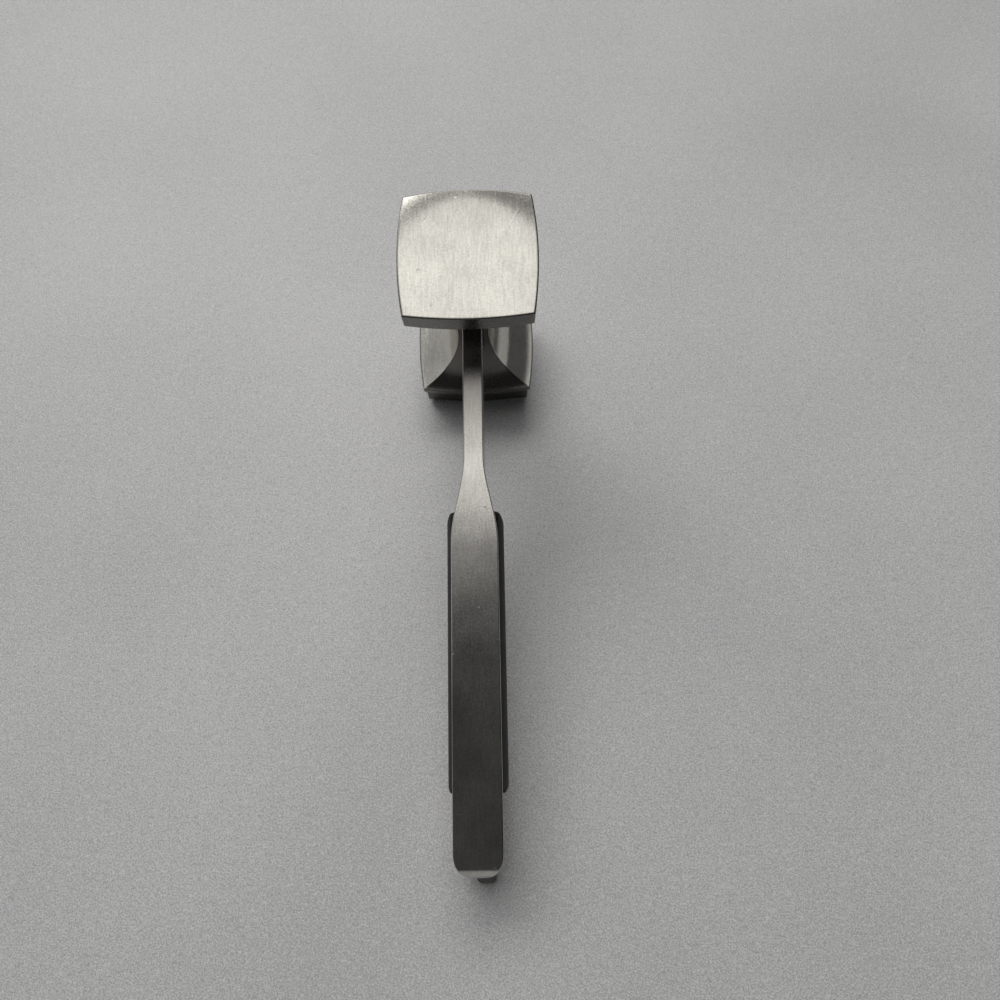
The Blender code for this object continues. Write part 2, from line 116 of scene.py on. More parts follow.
def head_profile():
    """The head from its underside to its smooth face, a row for each section: half widths, swell,
    roundness, height, how much of the crown it takes and how far its edge is softened.

    Seen from the side, a flare is a quarter of a superellipse plus a small slope at the rim.
    """
    angle = np.linspace(0, np.pi / 2, FLARE_STEPS + 1)
    widened = 1 - np.sin(angle) ** (2 / FLARE_POWER)
    risen = 1 - np.cos(angle) ** (2 / FLARE_POWER)
    slope = FLARE_SLOPE_SHARE * (HALF_CORNER - WAIST_WIDTH / 2)
    flare = np.stack([WAIST_WIDTH / 2 + (HALF_CORNER - WAIST_WIDTH / 2) * widened,
                      WAIST_DEPTH / 2 + (HALF_CORNER - WAIST_DEPTH / 2) * widened,
                      SIDE_SWELL * widened,
                      WAIST_ROUND_SHARE * (1 - widened),
                      (HALF_GAP - slope) * (1 - risen) + slope * widened,
                      0 * widened,
                      EDGE_SOFTNESS + 0 * widened], axis=-1)
    lower = flare * (1, 1, 1, 1, -1, 1, 1)
    recess = SPIGOT_RADIUS + FIT_GAP
    foot = [(0, 0, 0, 1, FOOT + SPIGOT_LENGTH, 0, EDGE_SOFTNESS),
            (recess, recess, 0, 1, FOOT + SPIGOT_LENGTH, 0, EDGE_SOFTNESS),
            (recess, recess, 0, 1, FOOT, 0, EDGE_SOFTNESS),
            (HALF_CORNER, HALF_CORNER, SIDE_SWELL, 0, FOOT, 0, EDGE_SOFTNESS)]
    face = [(HALF_CORNER, HALF_CORNER, SIDE_SWELL, 0, FACE_HEIGHT, 1, RIM_SOFTNESS),
            (0, 0, 0, 1, FACE_HEIGHT, 1, RIM_SOFTNESS)]
    return np.concatenate([foot, lower[:-1], flare[::-1], face])


def head_grid():
    """The head's skin: each column of the profile is read along its own length, at places that crowd
    round its edges, and both the profile and the sections are softened by a running mean."""
    profile = head_profile()
    step = np.hypot(np.diff(profile[:, 0]), np.diff(profile[:, 4]))
    length = np.concatenate([[0], np.cumsum(step)])
    edges = length[[1, 2, 3, 4, -3, -2]]
    near = np.linspace(-1.2, 1.2, 13)
    places = np.unique(np.round(np.concatenate([
        length, np.linspace(length[3], length[4], 6), np.linspace(length[-3], length[-2], 8),
        np.linspace(length[-2], length[-1], 28), (edges[:-1, None] + near * EDGE_SOFTNESS).ravel(),
        edges[-1] + near * RIM_SOFTNESS]), 6))
    softness = np.interp(places, length, profile[:, 6])
    reach = np.minimum(softness, np.minimum(places, length[-1] - places))
    smoothed = [np.mean([np.interp(places + reach * shift, length, column) for shift in SMOOTHING], axis=0)
                for column in profile[:, :6].T]
    half_x, half_y, swell, roundness, height, crowned = (column[:, None] for column in smoothed)
    corner = np.minimum(EDGE_SOFTNESS * 1.2 / (half_x + half_y + FIT_GAP), 0.05)
    around = round_places(SIDE_STEPS)[None]
    outline = np.mean([sharp_section(around + corner * shift, half_x, half_y, swell, roundness)
                       for shift in SMOOTHING], axis=0)
    past = np.maximum(0, np.hypot(*np.moveaxis(outline, -1, 0)) - FLAT_RADIUS)
    crown = CROWN_DROP * (past / (HALF_CORNER * math.sqrt(2) - FLAT_RADIUS)) ** 2
    return np.dstack([outline, height - crown * crowned])


def loop_faces(index):
    """Faces between neighbours in a grid of point numbers whose rows are closed loops."""
    after = np.roll(index, -1, axis=1)
    return np.stack([index[:-1], after[:-1], after[1:], index[1:]], axis=-1).reshape(-1, 4).tolist()


def solid(name, points, faces):
    """Lay points and faces down as the mallet lies and close them: points that meet become one, so that
    poles and seams are shut, and the faces are turned outwards."""
    mesh = bpy.data.meshes.new(name)
    mesh.from_pydata(points.reshape(-1, 3).tolist(), [], faces)
    shape = bmesh.new()
    shape.from_mesh(mesh)
    bmesh.ops.remove_doubles(shape, verts=shape.verts, dist=FIT_GAP / 300)
    bmesh.ops.transform(shape, matrix=LAID, verts=shape.verts)
    bmesh.ops.recalc_face_normals(shape, faces=shape.faces)
    shape.to_mesh(mesh)
    shape.free()
    made = bpy.data.objects.new(name, mesh)
    bpy.context.scene.collection.objects.link(made)
    return made


def skin(name, grid, first=True, last=True):
    """A solid from a grid of points whose rows are closed loops, with its first and last rows filled."""
    index = np.arange(grid.shape[0] * grid.shape[1]).reshape(grid.shape[:2])
    faces = loop_faces(index) + [index[0][::-1].tolist()] * first + [index[-1].tolist()] * last
    return solid(name, grid, faces)


def bar(outline, ends, axis):
    """A grid for a straight bar: an outline in the other two directions, carried along an axis."""
    grid = np.empty((len(ends), len(outline), 3))
    grid[:, :, [other for other in range(3) if other != axis]] = outline
    grid[:, :, axis] = np.array(ends)[:, None]
    return grid


def ring(radius, middle, steps=48):
    """Points of a circle: the cosine and the sine of equal turns."""
    turn = np.arange(steps) * 2 * np.pi / steps
    return np.stack([np.cos(turn), np.sin(turn)], axis=-1) * radius + middle


def carve(piece, *cuts):
    """Cut each solid from a piece, or join it on, one after another, and keep the result as its mesh,
    smooth but for its sharp edges."""
    for operation, other in cuts:
        step = piece.modifiers.new(other.name, "BOOLEAN")
        step.operation = operation
        step.solver = "EXACT"
        step.object = other
    graph = bpy.context.evaluated_depsgraph_get()
    piece.data = bpy.data.meshes.new_from_object(piece.evaluated_get(graph))
    piece.modifiers.clear()
    for _, other in cuts:
        bpy.data.objects.remove(other, do_unlink=True)
    piece.data.shade_smooth()
    piece.data.set_sharp_from_angle(angle=math.radians(32))


class Wire:
    """One output among a material's nodes. Sums and products of it add Math nodes."""

    def __init__(self, tree, output=None):
        self.tree, self.output = tree, output

    def node(self, kind, settings=None, sockets=None, output=0):
        """Add a node of a kind: first its settings, then values or wires for its sockets."""
        made = self.tree.nodes.new("ShaderNode" + kind)
        for name, value in (settings or {}).items():
            setattr(made, name, value)
        for name, value in (sockets or {}).items():
            if isinstance(value, Wire):
                self.tree.links.new(value.output, made.inputs[name])
            else:
                made.inputs[name].default_value = value
        return Wire(self.tree, made.outputs[output])

    def math(self, operation, first, second):
        return self.node("Math", {"operation": operation}, {0: first, 1: second})

    def __add__(self, other):
        return self.math("ADD", self, other)

    def __radd__(self, other):
        return self.math("ADD", other, self)

    def __sub__(self, other):
        return self.math("SUBTRACT", self, other)

    def __rsub__(self, other):
        return self.math("SUBTRACT", other, self)

    def __mul__(self, other):
        return self.math("MULTIPLY", self, other)

    def __rmul__(self, other):
        return self.math("MULTIPLY", other, self)

    def stretched(self, *share):
        """A vector multiplied by a share for each of its directions."""
        return self.node("VectorMath", {"operation": "MULTIPLY"}, {0: self, 1: share})

    def noise(self, scale, detail=2.0, roughness=0.5):
        return self.node("TexNoise", {}, {"Vector": self, "Scale": scale, "Detail": detail,
                                          "Roughness": roughness})

    def between(self, low, high):
        """A smooth step from 0 at the low value to 1 at the high one."""
        return self.node("MapRange", {"interpolation_type": "SMOOTHSTEP"},
                         {"Value": self, "From Min": low, "From Max": high})

    def mixed(self, first, second):
        """From the first colour to the second as this value goes from 0 to 1."""
        return self.node("Mix", {"data_type": "RGBA"}, {0: self, 6: first, 7: second}, output=2)


def new_material(name, metallic):
    """A Principled material, and the wire of a point's place on the upright mallet."""
    made = bpy.data.materials.new(name)
    made.use_nodes = True
    shader = made.node_tree.nodes["Principled BSDF"]
    shader.inputs["Metallic"].default_value = metallic
    place = Wire(made.node_tree).node("TexCoord", output="Object")
    return made, shader, place.node("Mapping", {}, {"Vector": place, "Rotation": (-LEAN, 0, 0),
                                                    "Location": LAID.inverted().translation})


def finish(shader, colour, roughness, height, depth):
    """Wire a material's colour, roughness and relief, whose height of 1 stands for the depth."""
    bump = height.node("Bump", {}, {"Height": height, "Strength": 1.0, "Distance": depth}, "Normal")
    for name, wire in (("Base Color", colour), ("Roughness", roughness), ("Normal", bump)):
        shader.id_data.links.new(wire.output, shader.inputs[name])


STREAKS_PER_METRE = 1500
GRAINS_PER_METRE = 1300
CLOUDS_PER_METRE = 70
MARKS_PER_METRE = 420
STREAK_SHARES = (1.0, 0.12, 1.0)
SCRATCH_SHARES = (1.0, 0.02, 1.0)
SCRATCH_TURN = 0.5
CLOUD_TONE = 0.7
BRUSHED_RELIEF = 0.000014
# Near-black colour and extra roughness, towards which the head's painted shade and the neck's darkening are
# mixed.
DARKENED_COLOUR = (0.05, 0.046, 0.042, 1)
DARKENED_ROUGHNESS = 0.15


def satin_metal(name, pale, dark, roughness, brushing, grain, darkening=None):
    """Cast aluminium, satin brushed along the handle: short streaks, a fine speckle, soft clouds, a few
    thin scratches and here and there a small dark pit. By the share that the darkening gives, the metal
    is darker and rougher; on the head that share is painted shade and dark reflection."""
    made, shader, place = new_material(name, 1.0)
    streaks = place.stretched(*STREAK_SHARES).noise(STREAKS_PER_METRE, 3.0, 0.65)
    fine = place.noise(GRAINS_PER_METRE, 3.0, 0.7)
    clouds = place.noise(CLOUDS_PER_METRE, 3.0, 0.55)
    turned = place.node("Mapping", {}, {"Vector": place, "Rotation": (0, 0, SCRATCH_TURN)})
    scratch = turned.stretched(*SCRATCH_SHARES).noise(MARKS_PER_METRE, 1.0, 0.4).between(0.72, 0.75)
    pit = place.noise(MARKS_PER_METRE, 1.0, 0.4).between(0.76, 0.80)
    tone = 0.5 + (streaks - 0.5) * brushing + (fine - 0.5) * grain + (clouds - 0.5) * CLOUD_TONE - pit * 0.6
    gloss = roughness + (clouds - 0.5) * 0.08 + (fine - 0.5) * 0.10 + pit * 0.2
    height = streaks * brushing + fine * grain * 0.6 - scratch * 0.6 - pit * 1.5
    colour = tone.between(0.0, 1.0).mixed((*dark, 1), (*pale, 1))
    # Painted shade on the head, and a darkening of the neck near the waist: the colour is mixed towards
    # near black, and made rougher.
    if darkening:
        darkened = darkening(place)
        colour, gloss = darkened.mixed(colour, DARKENED_COLOUR), gloss + darkened * DARKENED_ROUGHNESS
    finish(shader, colour, gloss, height, BRUSHED_RELIEF)
    return made


# Where shade and dark reflection are painted on the head, and how strongly.
PAINTED_SHADE_SIDE = (0.0003, 0.0010)
PAINTED_SHADE_FRONT = (-0.0002, 0.0006)
PAINTED_SHADE_CREASE = (0.0003, 0.0011)
FRONT_EDGE = (-0.004, 0.0)
PLATE_FADE = 0.0005
SIDE_SHADE_STRENGTH = 0.75
FRONT_SHADE_STRENGTH = 0.80
CREASE_SHADE_STRENGTH = 0.85


def painted_head_shade(place):
    """Painted shade and dark reflection on the head: the sides of the plates and their edges, the creases
    of the flares, and the front of the hollow between its creases, under the handle. The creases are taken
    as straight lines from the corners of the plates to the corners of the waist, seen from above."""
    x, y, z = (place.node("SeparateXYZ", {}, {"Vector": place}, axis) for axis in "XYZ")
    off_x, off_y, off_z = (wire.math("ABSOLUTE", wire, 0) for wire in (x, y, z))
    half = HALF_CORNER + SIDE_SWELL
    inside_x = half - y * y * (SIDE_SWELL / HALF_CORNER ** 2) - off_x
    inside_y = half - x * x * (SIDE_SWELL / HALF_CORNER ** 2) - off_y
    side = 1 - inside_x.math("MINIMUM", inside_x, inside_y).between(*PAINTED_SHADE_SIDE)
    slope = (HALF_CORNER - WAIST_WIDTH / 2) / (HALF_CORNER - WAIST_DEPTH / 2)
    past_crease = (off_y - HALF_CORNER) * slope + HALF_CORNER - off_x
    front = past_crease.between(*PAINTED_SHADE_FRONT) * (1 - y.between(*FRONT_EDGE))
    crease = 1 - past_crease.math("ABSOLUTE", past_crease, 0).between(*PAINTED_SHADE_CREASE)
    hollow = 1 - off_z.between(HALF_GAP - PLATE_FADE, HALF_GAP + PLATE_FADE)
    inner = hollow * front.math("MAXIMUM", front * FRONT_SHADE_STRENGTH, crease * CREASE_SHADE_STRENGTH)
    return side.math("MAXIMUM", side * SIDE_SHADE_STRENGTH, inner)


head = skin("head", head_grid(), first=False, last=False)
pin_middle = (SOCKET_FLOOR - TENON_LENGTH / 2, 0)
socket_outline = np.array([(-1, -1), (1, -1), (1, 1), (-1, 1)]) * (NECK_WIDTH / 2 + FIT_GAP,
                                                                   HANDLE_DEPTH / 2 + FIT_GAP)
carve(head,
      ("DIFFERENCE", skin("neck_socket", bar(socket_outline, (-FACE_WIDTH, SOCKET_FLOOR), 1))),
      ("DIFFERENCE", skin("head_pin_hole", bar(ring(HEAD_PIN_RADIUS + FIT_GAP, pin_middle),
                                               (-WAIST_WIDTH, WAIST_WIDTH), 0))))
# The head's metal has painted shade and dark reflection on its plates' sides, in its creases and on the
# front of its hollow.
head.data.materials.append(satin_metal("satin_head_metal", (0.76, 0.74, 0.68), (0.44, 0.425, 0.39),
                                       roughness=0.17, brushing=0.8, grain=1.0, darkening=painted_head_shade))
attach(head, "root")
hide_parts("head_body")


# Toothed face. A square aluminium block under the lower plate, held by a round spigot in its top, and
# grooved both ways into eight rows of eight pyramids with narrow flat tips. Its edges are cast, so they
# are a little softer than a machined block's.
TOOTH_INSET = 0.0010
TOOTH_BASE = 0.0104
TOOTH_HEIGHT = 0.0036
TOOTH_TIP = 0.0007
TEETH_PER_ROW = 8
TOOTH_SOFTNESS = 0.00022
TOOTH_STEPS = np.array([0.0, 0.18, 0.33, 0.44, 0.60, 1.20, 1.90, 2.50, 2.80]) / 1000

PLATE_TOP = FOOT - FIT_GAP
TOOTH_ROOT = PLATE_TOP - TOOTH_BASE
TOOTH_PITCH = (FACE_WIDTH - 2 * TOOTH_INSET - SIDE_SWELL) / TEETH_PER_ROW
BLOCK_CORNER = HALF_CORNER - TOOTH_INSET
STRAIGHT_REACH = TOOTH_PITCH * (TEETH_PER_ROW - 1) / 2 + TOOTH_TIP / 2 + TOOTH_SOFTNESS


def tooth_share(across):
    """How far one row of teeth stands out: straight slopes between the grooves, cut off at the tips,
    and nothing past the last groove."""
    slope = (TOOTH_PITCH - TOOTH_TIP) / 2
    inside = np.abs(across) < TOOTH_PITCH * TEETH_PER_ROW / 2
    from_groove = TOOTH_PITCH / 2 - np.abs((across + TOOTH_PITCH * TEETH_PER_ROW / 2) % TOOTH_PITCH
                                           - TOOTH_PITCH / 2)
    return np.clip(from_groove / slope, 0, 1) * inside


def block_lattice():
    """Places of a lattice over the block: straight lines through the teeth, and past the last tips lines
    that spread out to the swollen sides."""
    centres = (np.arange(TEETH_PER_ROW) - (TEETH_PER_ROW - 1) / 2) * TOOTH_PITCH
    steps = np.concatenate([-TOOTH_STEPS[:0:-1], TOOTH_STEPS, [TOOTH_PITCH / 2]])
    lines = (centres[:, None] + steps).ravel()
    lines = lines[np.abs(lines) < STRAIGHT_REACH]
    spread = np.linspace(0, 1, 9)
    past = np.sign(lines[-1]) * STRAIGHT_REACH
    share = np.concatenate([-spread[::-1], 0 * lines, spread])
    straight = np.concatenate([0 * spread - past, lines, 0 * spread + past])
    aside = straight + share * (BLOCK_CORNER - STRAIGHT_REACH)
    swell = SIDE_SWELL * (1 - (aside / BLOCK_CORNER) ** 2)
    x = straight[:, None] + share[:, None] * (BLOCK_CORNER + swell[None] - STRAIGHT_REACH)
    y = straight[None] + share[None] * (BLOCK_CORNER + swell[:, None] - STRAIGHT_REACH)
    return x, y


def toothed_block():
    """Points and faces of the block. The teeth are the lower of two crossing rows, softened by a running
    mean both ways, and their cells are split along the hips of the pyramids. Loops of points run from
    their border up the sides, over the top to the spigot and up that to its pole."""
    x, y = block_lattice()
    shifts = SMOOTHING[::2] * TOOTH_SOFTNESS
    stands = np.mean([np.minimum(tooth_share(x + right), tooth_share(y + up))
                      for right in shifts for up in shifts], axis=0)
    teeth = np.dstack([x, y, TOOTH_ROOT - TOOTH_HEIGHT * stands])
    index = np.arange(x.size).reshape(x.shape)
    a, b, c, d = index[:-1, :-1], index[1:, :-1], index[1:, 1:], index[:-1, 1:]
    middle_x = (x[:-1, :-1] + x[1:, 1:]) / 2 % TOOTH_PITCH - TOOTH_PITCH / 2
    middle_y = (y[:-1, :-1] + y[1:, 1:]) / 2 % TOOTH_PITCH - TOOTH_PITCH / 2
    along = (middle_x * middle_y > 0)[..., None]
    faces = np.concatenate([np.where(along, np.dstack([a, b, c]), np.dstack([a, b, d])).reshape(-1, 3),
                            np.where(along, np.dstack([a, c, d]), np.dstack([b, c, d])).reshape(-1, 3)])
    border = np.concatenate([index[:-1, 0], index[-1, :-1], index[:0:-1, -1], index[0, :0:-1]])
    edge = teeth.reshape(-1, 3)[border]
    outward = edge[:, :2] / np.hypot(edge[:, 0], edge[:, 1])[:, None]
    soft = EDGE_SOFTNESS * np.linspace(0, 1, 5)
    drawn_in = EDGE_SOFTNESS - np.sqrt(np.maximum(0, EDGE_SOFTNESS ** 2 - soft ** 2))
    loops = [np.column_stack([edge[:, :2], 0 * border + TOOTH_ROOT + EDGE_SOFTNESS])]
    loops += [np.column_stack([edge[:, :2] - outward * inwards,
                               0 * border + PLATE_TOP - EDGE_SOFTNESS + up])
              for inwards, up in zip(drawn_in, soft)]
    for radius, height in ((SPIGOT_RADIUS, PLATE_TOP), (SPIGOT_RADIUS, PLATE_TOP + SPIGOT_LENGTH - FIT_GAP),
                           (SPIGOT_RADIUS - FIT_GAP, PLATE_TOP + SPIGOT_LENGTH),
                           (0, PLATE_TOP + SPIGOT_LENGTH)):
        loops.append(np.column_stack([outward * radius, 0 * border + height]))
    numbers = x.size + np.arange(len(loops) * len(border)).reshape(len(loops), -1)
    numbers = np.concatenate([[border], numbers])
    return np.concatenate([teeth.reshape(-1, 3), *loops]), faces.tolist() + loop_faces(numbers)


toothed_face = solid("toothed_face", *toothed_block())
toothed_face.data.shade_smooth()
toothed_face.data.set_sharp_from_angle(angle=math.radians(60))
# The block's colour is far darker than aluminium's. This is painted shade, for the contact shadow it stands
# in and the shadowed table it mirrors.
toothed_face.data.materials.append(satin_metal("painted_shade_tooth_metal", (0.17, 0.165, 0.155),
                                               (0.07, 0.067, 0.062),
                                               roughness=0.32, brushing=0.3, grain=1.0))
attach(toothed_face, "root")
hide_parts("tooth_plate")


# Handle. One aluminium casting: a narrow neck that goes into the waist, a flare, and a strip with a
# channel down each side for the grips. Its tail is rounded, has an opening to hang it by, and ends in a
# small tab under its lower edge. The top is satin brushed, and every edge is rounded by hand.
HANDLE_REACH = 0.2154
STRIP_WIDTH = 0.0174
STRIP_THICKNESS = 0.0030
WEB_WIDTH = 0.0060
NECK_END = 0.0665
NECK_FLARE = 0.0330
TAIL_TAPER = 0.0100
TAIL_ROUNDING = 0.0080
TAIL_POWER = 2.3
HANDLE_EDGE = 0.0005
TAB_WIDTH = 0.0070
TAB_THICKNESS = 0.0026
TAB_LENGTH = 0.0050
TAB_OFFSET = 0.0022
LOOP_LENGTH = 0.0175
LOOP_ROUNDING = 0.0050
GRIP_SETBACK = 0.0203
GRIP_BULKHEAD = 0.0069
GRIP_CORNER = 0.0040
DOWEL_RADIUS = 0.0020
DOWEL_PLACE_SHARES = np.array([1 / 6, 1 / 2, 5 / 6])
MOUTH_ROUNDING = 0.0006
NECK_DARKENING = 0.60
NECK_DARKENING_REACH = (-0.074, -0.038)

HALF_NECK = NECK_WIDTH / 2
HALF_STRIP = STRIP_WIDTH / 2
HALF_DEPTH = HANDLE_DEPTH / 2
HALF_CHANNEL = HALF_DEPTH - STRIP_THICKNESS
TAIL = -HANDLE_REACH
LOOP_REAR = TAIL + STRIP_THICKNESS
GRIP_FRONT = -NECK_END - GRIP_SETBACK
GRIP_REAR = LOOP_REAR + LOOP_LENGTH + GRIP_BULKHEAD
DOWEL_PLACES = GRIP_FRONT + (GRIP_REAR - GRIP_FRONT) * DOWEL_PLACE_SHARES


def handle_half_width(along):
    """Half the handle's width: the neck's, a smooth ease to the strip's, and a superellipse at the tail."""
    share = np.clip((-along - NECK_END) / NECK_FLARE, 0, 1)
    eased = HALF_NECK + (HALF_STRIP - HALF_NECK) * share ** 2 * (3 - 2 * share)
    into_tail = np.clip((TAIL + TAIL_TAPER - along) / TAIL_TAPER, 0, 1)
    return eased * (1 - into_tail ** TAIL_POWER) ** (1 / TAIL_POWER)


def handle_grid():
    """Oblong sections with rounded edges from the neck's tip to the tail: four quarter circles at the
    corners of a rectangle, whose depth turns in by a quarter circle at the tail."""
    turn = np.sin(np.linspace(0, np.pi / 2, 40))
    along = np.concatenate([np.linspace(SOCKET_FLOOR - FIT_GAP, -NECK_END, 20),
                            np.linspace(-NECK_END, -NECK_END - NECK_FLARE, 40)[1:],
                            np.linspace(-NECK_END - NECK_FLARE, TAIL + TAIL_TAPER, 24)[1:-1],
                            TAIL + TAIL_TAPER * (1 - turn ** (2 / TAIL_POWER))])
    half_width = handle_half_width(along)[:, None]
    into_turn = np.clip(TAIL + TAIL_ROUNDING - along, 0, TAIL_ROUNDING)[:, None]
    half_depth = HALF_DEPTH - TAIL_ROUNDING + np.sqrt(TAIL_ROUNDING ** 2 - into_turn ** 2)
    radius = np.minimum(HANDLE_EDGE, half_width / 2)
    quarter = np.linspace(0, np.pi / 2, 8)
    angle = (np.arange(4)[:, None] * np.pi / 2 + quarter).ravel()[None]
    right, up = (np.repeat(signs, len(quarter))[None] for signs in ((1, -1, -1, 1), (1, 1, -1, -1)))
    return np.dstack([right * (half_width - radius) + np.cos(angle) * radius,
                      np.broadcast_to(along[:, None], (len(along), angle.size)),
                      up * (half_depth - radius) + np.sin(angle) * radius])


def rounded_box(low, high, radius, steps=10, sides=1):
    """Outline of a rectangle with round corners: quarter circles, with equal steps along the sides."""
    quarter = np.linspace(0, np.pi / 2, steps + 1)
    angle = np.arange(4)[:, None] * np.pi / 2 + quarter
    middle = [np.where(np.array(signs) > 0, high[axis] - radius, low[axis] + radius)[:, None]
              for axis, signs in enumerate(((1, -1, -1, 1), (1, 1, -1, -1)))]
    corners = np.dstack([middle[0] + radius * np.cos(angle), middle[1] + radius * np.sin(angle)])
    share = np.arange(1, sides)[:, None] / sides
    return np.concatenate([part for corner, after in zip(corners, np.roll(corners, -1, axis=0))
                           for part in (corner, corner[-1] * (1 - share) + after[0] * share)])


def flared_hole(low, high, radius, inner, outer):
    """A hole's solid from one half width to another, across the strip: its outline grows by a quarter
    circle where it comes out of the strip's side, so that the mouth has a rounded edge."""
    turn = np.linspace(0, np.pi / 2, 6)
    out = np.concatenate([[inner], HALF_STRIP - MOUTH_ROUNDING + MOUTH_ROUNDING * np.sin(turn), [outer]])
    grown = np.concatenate([[0], MOUTH_ROUNDING * (1 - np.cos(turn)), [MOUTH_ROUNDING]])
    if inner < 0:
        out, grown = np.concatenate([-out[:0:-1], out[1:]]), np.concatenate([grown[:0:-1], grown[1:]])
    outlines = [rounded_box(np.array(low) - more, np.array(high) + more, radius + more) for more in grown]
    return np.concatenate([bar(outline, [place], 0) for place, outline in zip(out, outlines)])


def neck_darkening(place):
    """The neck is darker and rougher towards where it leaves the waist."""
    along = place.node("SeparateXYZ", {}, {"Vector": place}, "Y")
    return along.between(*NECK_DARKENING_REACH) * NECK_DARKENING


channel_low, channel_high = (GRIP_REAR - FIT_GAP, -HALF_CHANNEL), (GRIP_FRONT + FIT_GAP, HALF_CHANNEL)
channel = flared_hole(channel_low, channel_high, GRIP_CORNER, WEB_WIDTH / 2, HALF_STRIP + OVERRUN)
loop = flared_hole((LOOP_REAR, -HALF_CHANNEL), (LOOP_REAR + LOOP_LENGTH, HALF_CHANNEL), LOOP_ROUNDING,
                   -HALF_STRIP, HALF_STRIP + OVERRUN)
tab_outline = rounded_box((TAB_OFFSET - TAB_WIDTH / 2, TAIL - TAB_LENGTH),
                          (TAB_OFFSET + TAB_WIDTH / 2, TAIL + TAIL_ROUNDING), TAB_WIDTH / 4)
tab_middle = -HALF_DEPTH + STRIP_THICKNESS / 2
tab_ends = (tab_middle - TAB_THICKNESS / 2, tab_middle + TAB_THICKNESS / 2)

handle = skin("handle", handle_grid(), last=False)
carve(handle,
      ("DIFFERENCE", skin("right_channel", channel)),
      ("DIFFERENCE", skin("left_channel", channel * (-1, 1, 1))),
      ("DIFFERENCE", skin("tail_loop", loop)),
      ("UNION", skin("tail_tab", bar(tab_outline, tab_ends, 2))),
      ("DIFFERENCE", skin("neck_pin_hole", bar(ring(HEAD_PIN_RADIUS + FIT_GAP, pin_middle),
                                               (-NECK_WIDTH, NECK_WIDTH), 0))),
      *(("DIFFERENCE", skin("web_hole", bar(ring(DOWEL_RADIUS + FIT_GAP, (place, 0)),
                                            (-WEB_WIDTH, WEB_WIDTH), 0))) for place in DOWEL_PLACES))
handle.data.materials.append(satin_metal("satin_handle_metal", (0.72, 0.70, 0.65), (0.40, 0.385, 0.36),
                                         roughness=0.17, brushing=0.6, grain=1.0, darkening=neck_darkening))
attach(handle, "root")
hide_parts("handle_frame")


# Grips. Two solid black rubber inserts, one in each channel of the strip. The outer face of each bulges
# past the strip's edge, and is drawn in by a short curve at the front and at the rear. Steel dowels
# through the web hold them, in blind seats.
GRIP_WIDTH = 0.0216
GRIP_FRONT_TAPER = 0.0070
GRIP_REAR_TAPER = 0.0040
GRIP_SOFTNESS = 0.0006
DOWEL_SEAT = 0.0035

GRIP_INNER = WEB_WIDTH / 2 + FIT_GAP
GRIP_EDGE = HALF_STRIP - FIT_GAP
HALF_GRIP = HALF_CHANNEL - FIT_GAP


def taper(inner, length, from_end):
    """How far the outer face stands out near an end: a quarter of an ellipse over the taper's length."""
    left = 1 - np.clip(from_end / length, 0, 1)
    return inner + (GRIP_WIDTH / 2 + FIT_GAP - inner) * np.sqrt(1 - left ** 2)


def grip_face(along, up):
    """Outer face of a grip: a parabola over its depth, or the tapers where those stand out less."""
    bulge = GRIP_EDGE + (GRIP_WIDTH / 2 - GRIP_EDGE) * (1 - (up / HALF_GRIP) ** 2)
    front = taper(handle_half_width(np.array(GRIP_FRONT)), GRIP_FRONT_TAPER, GRIP_FRONT - along)
    rear = taper(GRIP_EDGE, GRIP_REAR_TAPER, along - GRIP_REAR)
    return np.minimum(bulge, np.minimum(front, rear))


def grip_grid():
    """A right grip: its side outline is drawn in to its middle line, on the flat inner face and on the
    outer one, and the outer face turns over its edge by a quarter circle."""
    outline = rounded_box((GRIP_REAR, -HALF_GRIP), (GRIP_FRONT, HALF_GRIP), GRIP_CORNER, 10, 48)
    middle = np.column_stack([np.clip(outline[:, 0], GRIP_REAR + HALF_GRIP, GRIP_FRONT - HALF_GRIP),
                              0 * outline[:, 0]])
    turn = np.linspace(0, np.pi / 2, 6)
    edge = 1 - GRIP_SOFTNESS / HALF_GRIP * (1 - np.cos(turn))
    share = np.concatenate([np.linspace(0, 1, 5), [1, 1], edge[1:], np.linspace(edge[-1], 0, 20)[1:]])
    spread = middle + (outline - middle) * share[:, None, None]
    face = grip_face(spread[..., 0], spread[..., 1])
    below = np.concatenate([np.zeros(6), [GRIP_SOFTNESS], GRIP_SOFTNESS * (1 - np.sin(turn[1:])),
                            np.zeros(19)])
    out = np.where(np.arange(len(share))[:, None] < 6, GRIP_INNER + 0 * face, face - below[:, None])
    out[5] = (GRIP_INNER + out[6]) / 2
    return np.dstack([out, spread])


def soft_rubber():
    """Matt black rubber: an even fine grain, with faint greyer clouds where it has been handled."""
    made, shader, place = new_material("black_grip_rubber", 0.0)
    fine = place.noise(3200, 2.0, 0.6)
    clouds = place.noise(90, 2.0, 0.5)
    colour = clouds.between(0.35, 0.75).mixed((0.004, 0.004, 0.004, 1), (0.010, 0.0098, 0.0095, 1))
    finish(shader, colour, 0.52 + (clouds - 0.5) * 0.2, fine, 0.00003)
    shader.inputs["Specular IOR Level"].default_value = 0.25
    return made


grip_rubber = soft_rubber()
for side, name in ((-1, "left"), (1, "right")):
    grip = skin("grip_insert_" + name, grip_grid() * (side, 1, 1), first=False, last=False)
    seats = [bar(ring(DOWEL_RADIUS + FIT_GAP, (place, 0)), (0, GRIP_INNER + DOWEL_SEAT + FIT_GAP), 0)
             for place in DOWEL_PLACES]
    carve(grip, *(("DIFFERENCE", skin("dowel_seat", seat * (side, 1, 1))) for seat in seats))
    grip.data.materials.append(grip_rubber)
    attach(grip, "root")
    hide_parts("grip_" + name)


